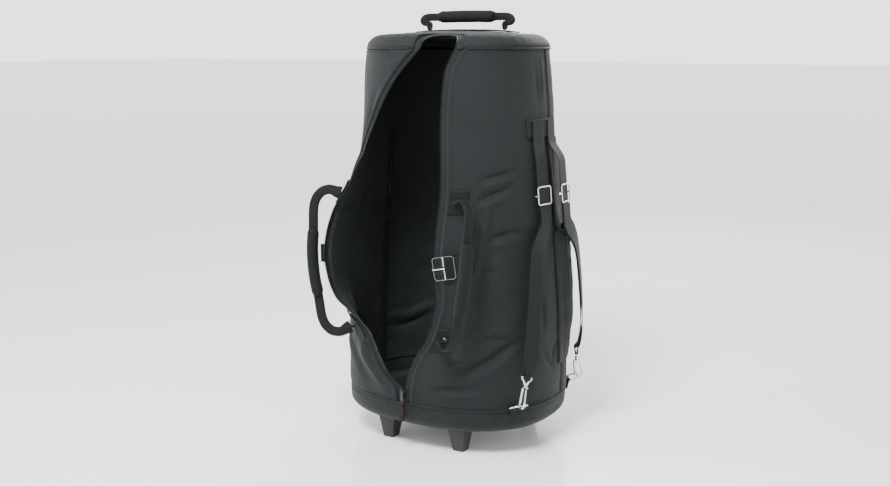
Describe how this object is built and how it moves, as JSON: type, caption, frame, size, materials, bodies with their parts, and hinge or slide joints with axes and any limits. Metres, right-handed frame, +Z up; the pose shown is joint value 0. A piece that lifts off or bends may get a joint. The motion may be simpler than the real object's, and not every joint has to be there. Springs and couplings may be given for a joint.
{
  "type": "conga drum bag",
  "caption": "Tall padded bag for a conga drum, open down the front by a zip, with carry handles, backpack straps, a top handle and base wheels.",
  "frame": {"origin": "on the floor, under the middle of the whole part seen from above", "axes": "+X towards the side with the backpack straps, -Y towards the open zip mouth, +Z up the standing bag"},
  "size_m": [0.4923, 0.4307, 0.8631],
  "materials": {
    "shell_fabric": "matte",
    "board": "matte",
    "piping": "satin",
    "zip_tape": "matte",
    "zip_teeth": "satin",
    "webbing": "matte",
    "grip": "matte",
    "cord": "matte",
    "chrome": "polished",
    "plastic": "satin",
    "rubber": "matte"
  },
  "bodies": {
    "bag": {"back_panel": "shell_fabric", "left_panel": "shell_fabric", "right_panel": "shell_fabric", "top_panel": "shell_fabric", "boot": "shell_fabric", "base_board": "board", "seam_piping": "piping", "rim_piping": "piping", "zip_tape_left": "zip_tape", "zip_tape_right": "zip_tape", "zip_teeth_left": "zip_teeth", "zip_teeth_right": "zip_teeth", "zip_stop": "zip_teeth", "top_handle_base": "webbing", "left_handle_base_low": "webbing", "left_handle_base_high": "webbing", "right_handle_base_low": "webbing", "right_handle_base_high": "webbing", "closing_strap": "webbing", "closing_strap_end": "webbing", "strap_band": "shell_fabric", "front_strap": "webbing", "front_strap_return": "webbing", "front_yoke": "chrome", "front_ring_tab": "webbing", "rear_strap": "webbing", "rear_strap_return": "webbing", "rear_yoke": "chrome", "rear_ring_tab": "webbing", "stow_flap": "shell_fabric", "stow_pocket": "shell_fabric", "foot_left": "rubber", "foot_right": "rubber", "wheel_housing_left": "plastic", "wheel_housing_right": "plastic", "wheel_axle": "chrome"},
    "zip_slider": {"zip_slider": "chrome"},
    "zip_pull": {"zip_tab": "chrome", "zip_pull": "cord"},
    "top_handle": {"top_handle_webbing": "webbing", "top_handle_grip": "grip"},
    "left_handle": {"left_handle_webbing": "webbing", "left_handle_grip": "grip"},
    "right_handle": {"right_handle_webbing": "webbing", "right_handle_grip": "grip"},
    "buckle_frame": {"buckle_frame": "chrome"},
    "buckle_prong": {"buckle_prong": "chrome"},
    "front_slide": {"front_slide": "chrome"},
    "rear_slide": {"rear_slide": "chrome"},
    "front_hook": {"front_hook": "chrome"},
    "front_gate": {"front_gate": "chrome"},
    "rear_hook": {"rear_hook": "chrome"},
    "rear_gate": {"rear_gate": "chrome"},
    "front_ring": {"front_ring": "chrome"},
    "rear_ring": {"rear_ring": "chrome"},
    "left_wheel": {"wheel_left": "plastic", "tyre_left": "rubber"},
    "right_wheel": {"wheel_right": "plastic", "tyre_right": "rubber"}
  },
  "joints": [
    {"name": "zip_slider_travel", "type": "slide", "parent": "bag", "child": "zip_slider", "axis": [0, 0, 1], "range_m": [-0.009, 0]},
    {"name": "zip_tab_swing", "type": "hinge", "parent": "zip_slider", "child": "zip_pull", "pos_m": [-0.01885, -0.17058, 0.1225], "axis": [-1, 0, 0], "range_deg": [0, 35]},
    {"name": "top_handle_swing", "type": "hinge", "parent": "bag", "child": "top_handle", "pos_m": [-0.09523, 0.05653, 0.83246], "axis": [1, 0, 0], "range_deg": [-45, 45]},
    {"name": "left_handle_swing", "type": "hinge", "parent": "bag", "child": "left_handle", "pos_m": [-0.15511, -0.15063, 0.23248], "axis": [-0.139, 0.0882, 0.9864], "range_deg": [-50, 25]},
    {"name": "right_handle_swing", "type": "hinge", "parent": "bag", "child": "right_handle", "pos_m": [0.07445, -0.17345, 0.23589], "axis": [0.0944, 0.0626, 0.9936], "range_deg": [-70, 25]},
    {"name": "buckle_frame_tilt", "type": "hinge", "parent": "bag", "child": "buckle_frame", "pos_m": [0.07681, -0.16673, 0.37828], "axis": [-0.1677, -0.0151, 0.9857], "range_deg": [-15, 5]},
    {"name": "buckle_prong_lift", "type": "hinge", "parent": "buckle_frame", "child": "buckle_prong", "pos_m": [0.07681, -0.16673, 0.37828], "axis": [-0.1677, -0.0151, 0.9857], "range_deg": [0, 100]},
    {"name": "front_strap_length", "type": "slide", "parent": "bag", "child": "front_slide", "axis": [-0.0931, 0.0134, 0.9956], "range_m": [-0.025, 0.025], "deforming": ["front_strap_return"]},
    {"name": "rear_strap_length", "type": "slide", "parent": "bag", "child": "rear_slide", "axis": [-0.093, -0.0142, 0.9956], "range_m": [-0.025, 0.025], "deforming": ["rear_strap_return"]},
    {"name": "front_hook_swing", "type": "hinge", "parent": "bag", "child": "front_hook", "pos_m": [0.21392, -0.09195, 0.15096], "axis": [0.0314, 0.3039, 0.9522], "range_deg": [-12, 12]},
    {"name": "front_gate_open", "type": "hinge", "parent": "front_hook", "child": "front_gate", "pos_m": [0.21748, -0.09636, 0.14384], "axis": [0.4713, 0.8356, -0.2822], "range_deg": [0, 20]},
    {"name": "rear_hook_swing", "type": "hinge", "parent": "bag", "child": "rear_hook", "pos_m": [0.21376, 0.1386, 0.15096], "axis": [0.033, -0.3053, 0.9517], "range_deg": [-12, 12]},
    {"name": "rear_gate_open", "type": "hinge", "parent": "rear_hook", "child": "rear_gate", "pos_m": [0.21728, 0.14307, 0.14387], "axis": [-0.4822, 0.8292, 0.2828], "range_deg": [0, 20]},
    {"name": "front_ring_swing", "type": "hinge", "parent": "bag", "child": "front_ring", "pos_m": [0.1947, -0.0913, 0.104], "axis": [0.5712, 0.8208, 0], "range_deg": [-10, 0]},
    {"name": "rear_ring_swing", "type": "hinge", "parent": "bag", "child": "rear_ring", "pos_m": [0.19464, 0.13778, 0.104], "axis": [-0.5821, 0.8131, 0], "range_deg": [-10, 0]},
    {"name": "left_wheel_spin", "type": "hinge", "parent": "bag", "child": "left_wheel", "pos_m": [-0.1184, 0.1292, 0.022], "axis": [1, 0, 0], "continuous": true},
    {"name": "right_wheel_spin", "type": "hinge", "parent": "bag", "child": "right_wheel", "pos_m": [0.1056, 0.1292, 0.022], "axis": [1, 0, 0], "continuous": true}
  ]
}
